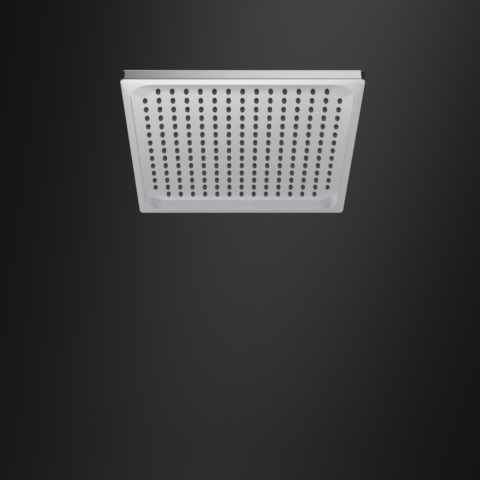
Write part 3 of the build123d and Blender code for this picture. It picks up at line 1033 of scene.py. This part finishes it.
def makeNut():
    bottom, top = levels("union_nut")
    height = top - bottom
    flat = nut["acrossFlats"] / 2
    corner = flat / math.cos(math.pi / 6)
    chamfer = (corner - flat) * math.tan(math.radians(nut["chamferAngle"]))
    piece = begin("unionNut")
    bpy.ops.mesh.primitive_cylinder_add(
        vertices=6,
        radius=corner,
        depth=height,
        location=(0, 0, (top + bottom) / 2),
        rotation=(0, 0, math.pi / 2),
    )
    pick("EDGE", lambda edge: abs(edge.verts[0].co.z - edge.verts[1].co.z) > height / 2)
    bpy.ops.mesh.bevel(offset=nut["edgeRound"], segments=roundSteps)
    closeUp()
    lathe = [
        (0, bottom, 0),
        (flat, bottom, 0),
        (corner, bottom + chamfer, 0),
        (corner, top - chamfer, 0),
        (flat, top, 0),
        (0, top, 0),
    ]
    cutWith(piece, turn("nutLathe", lathe, nut["latheSteps"]), "INTERSECT")

    # bore, from the lip under the ring up to the mouth of the thread
    lip, relief, thread = nut["lipRadius"], nut["reliefRadius"], nut["threadRadius"]
    lipTop, threadEnd = bottom + nut["lipHeight"], top - nut["threadLength"]
    mouth = thread + nut["mouthChamfer"]
    bore = [
        (0, bottom - nut["overrun"], 0),
        (lip, bottom - nut["overrun"], 0),
        (lip, lipTop, 0),
        (relief, lipTop, 0),
        (relief, threadEnd, 0),
        (thread, threadEnd, 0),
        (thread, top - nut["mouthChamfer"], 0),
        (mouth, top, 0),
        (mouth, top + nut["overrun"], 0),
        (0, top + nut["overrun"], 0),
    ]
    cutWith(piece, turn("nutBore", bore, nut["boreSteps"]))
    bpy.ops.object.mode_set(mode="EDIT")
    closeUp()

    # thread ridge, closed at both ends; foot and crest are half widths as shares of the pitch
    ridge = begin("threadRidge")
    pitch, turns = nut["threadPitch"], nut["threadTurns"]
    wide, narrow = nut["ridgeFoot"] * pitch, nut["ridgeCrest"] * pitch
    foot = thread + nut["ridgeSink"]
    crest = foot - nut["threadDepth"]
    start = top - nut["threadStart"] - turns * pitch
    draw([(foot, start - wide), (crest, start - narrow), (crest, start + narrow), (foot, start + wide)])
    bpy.ops.object.mode_set(mode="OBJECT")
    useModifier(
        ridge,
        "SCREW",
        axis="Z",
        angle=2 * math.pi * turns,
        screw_offset=pitch * turns,
        steps=round(nut["ridgeSteps"] * turns),
        render_steps=round(nut["ridgeSteps"] * turns),
    )
    bpy.ops.object.mode_set(mode="EDIT")
    bpy.ops.mesh.select_all(action="SELECT")
    bpy.ops.mesh.fill_holes(sides=4)
    closeUp()
    choose(piece, ridge)
    bpy.ops.object.join()
    settle(piece, "union_nut", "chromed_brass", "union_nut")


makeTray()
makeMat()
makeShell()
makeStud()
makeSocket()
makeCollar()
makeNut()
print("pieces ready")

# Camera at the photograph's angle, worked out from the perspective of the nozzle grid
view = {
    "place": (-8.21, -894.26, -723.77),
    "towards": (0.00527, 0.85479, 0.51895),
    "up": (0.00039, -0.51896, 0.8548),
    "focalPixels": 981.33,
    "framePixels": 480.0,
    "sensorMm": 36.0,
    "clip": (0.01, 300.0),
}


def addCamera():
    camera = bpy.data.objects.new("camera", bpy.data.cameras.new("camera"))
    bpy.context.scene.collection.objects.link(camera)
    towards, up = Vector(view["towards"]).normalized(), Vector(view["up"]).normalized()
    right = towards.cross(up).normalized()
    turned = Matrix((right, right.cross(towards), -towards)).transposed()
    camera.matrix_world = Matrix.Translation(Vector(view["place"]) * mm) @ turned.to_4x4()
    camera.data.sensor_width = view["sensorMm"]
    camera.data.lens = view["sensorMm"] * view["focalPixels"] / view["framePixels"]
    camera.data.clip_start, camera.data.clip_end = view["clip"]
    bpy.context.scene.camera = camera


# Stage: a pale floor well below the head, a dim grey studio behind it and soft light.
# Each ramp of the sky has its axis, where it starts and ends along that, and its level at both
stage = {
    "floorLevel": -1.0,
    "floorSize": 120.0,
    "floorColour": "#E9E8E8",
    "plainColour": "#FFFFFF",
    "plainLevel": 0.5,
    "glowHeights": (0.33, 0.7),
    "glow": (0.0195, 0.048),
    "glowAcross": (0.975, 0.0875, -0.2052),
    "glowSpread": 0.156,
    "softbox": 0.75,
    "softboxWay": (0.085, -0.75, 0.655),
    "softboxSpread": 13.7,
    "cove": ("Z", (0.26, 0.0), (0.006, 0.405)),  # below the photograph's view
    "ceiling": ("Z", (0.69, 0.99), (0.0, 0.85)),
    "horizon": ("Z", (0.42, 0.0), (0.022, 0.37)),
    "sideSky": ("Z", (0.64, 0.5), (0.0, 0.25)),
    "rearSky": ("Y", (0.7, 0.95), (0.0, 0.3)),
}


def addFloor():
    bpy.ops.object.select_all(action="DESELECT")
    bpy.ops.mesh.primitive_plane_add(size=stage["floorSize"], location=(0, 0, stage["floorLevel"]))
    floor = bpy.context.object
    floor.name = "floor"
    made, tree = newMaterial("floor_paper")
    shader = addNode(
        tree,
        "ShaderNodeBsdfPrincipled",
        values={
            "Base Color": hexColour(stage["floorColour"]),
            "Roughness": 0.9,
            "Specular IOR Level": 0.1,
        },
    )
    addNode(tree, "ShaderNodeOutputMaterial", links={"Surface": shader.outputs["BSDF"]})
    floor.data.materials.append(made)


def addWorld():
    world = bpy.data.worlds.new("studio")
    bpy.context.scene.world = world
    world.use_nodes = True
    tree = world.node_tree
    tree.nodes.clear()
    way = addNode(tree, "ShaderNodeTexCoord").outputs["Generated"]
    split = addNode(tree, "ShaderNodeSeparateXYZ", links={"Vector": way})
    ramps = {}
    for name in ("cove", "ceiling", "horizon", "sideSky", "rearSky"):
        axis, span, strengths = stage[name]
        ramps[name] = addNode(
            tree,
            "ShaderNodeMapRange",
            {"interpolation_type": "SMOOTHSTEP"},
            dict(zip(rangeEnds, (*span, *strengths))),
            {"Value": split.outputs[axis]},
        ).outputs["Result"]

    # wall behind the head: a soft upright glow, and a cove that sweeps into the floor
    across = addNode(
        tree,
        "ShaderNodeVectorMath",
        {"operation": "DOT_PRODUCT"},
        {1: Vector(stage["glowAcross"]) / stage["glowSpread"]},
        {0: way},
    ).outputs["Value"]
    squared = addNode(
        tree, "ShaderNodeMath", {"operation": "MULTIPLY"}, links={0: across, 1: across}
    ).outputs["Value"]
    fade = addNode(
        tree, "ShaderNodeMath", {"operation": "POWER"}, {0: math.exp(-1)}, {1: squared}
    ).outputs["Value"]
    glow = addNode(
        tree,
        "ShaderNodeMapRange",
        values=dict(zip(rangeEnds, (*stage["glowHeights"], *stage["glow"]))),
        links={"Value": split.outputs["Z"]},
    ).outputs["Result"]
    wall = addNode(
        tree,
        "ShaderNodeMath",
        {"operation": "MULTIPLY_ADD"},
        links={0: fade, 1: glow, 2: ramps["cove"]},
    ).outputs["Value"]

    # studio that the chrome mirrors: a softbox in front, and the sky around it
    facing = addNode(
        tree,
        "ShaderNodeVectorMath",
        {"operation": "DOT_PRODUCT"},
        {1: Vector(stage["softboxWay"]).normalized()},
        {0: way},
    ).outputs["Value"]
    edge = math.cos(math.radians(stage["softboxSpread"]))
    light = addNode(
        tree,
        "ShaderNodeMapRange",
        values=dict(zip(rangeEnds, (edge, 1.0, 0.0, stage["softbox"]))),
        links={"Value": facing},
    ).outputs["Result"]
    for name in ("ceiling", "horizon", "sideSky", "rearSky"):
        light = addNode(
            tree, "ShaderNodeMath", {"operation": "ADD"}, links={0: light, 1: ramps[name]}
        ).outputs["Value"]

    # the eye sees the wall, the chrome sees the studio, and an even level lights everything else
    rays = addNode(tree, "ShaderNodeLightPath").outputs
    shiny = addNode(
        tree,
        "ShaderNodeMath",
        {"operation": "ADD", "use_clamp": True},
        links={0: rays["Is Glossy Ray"], 1: rays["Is Transmission Ray"]},
    ).outputs["Value"]
    even = addNode(
        tree,
        "ShaderNodeBackground",
        values={"Color": hexColour(stage["plainColour"]), "Strength": stage["plainLevel"]},
    ).outputs["Background"]
    studio = addNode(tree, "ShaderNodeBackground", links={"Color": light}).outputs["Background"]
    backdrop = addNode(tree, "ShaderNodeBackground", links={"Color": wall}).outputs["Background"]
    mirrored = addNode(
        tree, "ShaderNodeMixShader", links={0: shiny, 1: even, 2: studio}
    ).outputs["Shader"]
    mixed = addNode(
        tree, "ShaderNodeMixShader", links={0: rays["Is Camera Ray"], 1: mirrored, 2: backdrop}
    ).outputs["Shader"]
    addNode(tree, "ShaderNodeOutputWorld", links={"Surface": mixed})


# Round lamps that look straight down and light pools on the floor, which the tray mirrors
lamps = {
    "rearLight": {"place": (-0.08, 0.66, -0.7), "size": 0.8, "watts": 1.6},
    "leftLight": {"place": (-1.8, 1.1, -0.4), "size": 2.6, "watts": 7.5},
    "rightLight": {"place": (1.9, 1.1, -0.4), "size": 2.6, "watts": 5.0},
    "frontLight": {"place": (0.0, -1.5, 0.6), "size": 1.2, "watts": 9.0},
}


def addLamps():
    for name, spec in lamps.items():
        lamp = bpy.data.objects.new(name, bpy.data.lights.new(name, "AREA"))
        bpy.context.scene.collection.objects.link(lamp)
        lamp.data.shape = "DISK"
        lamp.data.size = spec["size"]
        lamp.data.energy = spec["watts"]
        lamp.location = spec["place"]
        lamp.visible_camera = False
        lamp.visible_glossy = False


addCamera()
addFloor()
addWorld()
addLamps()
print("stage ready")
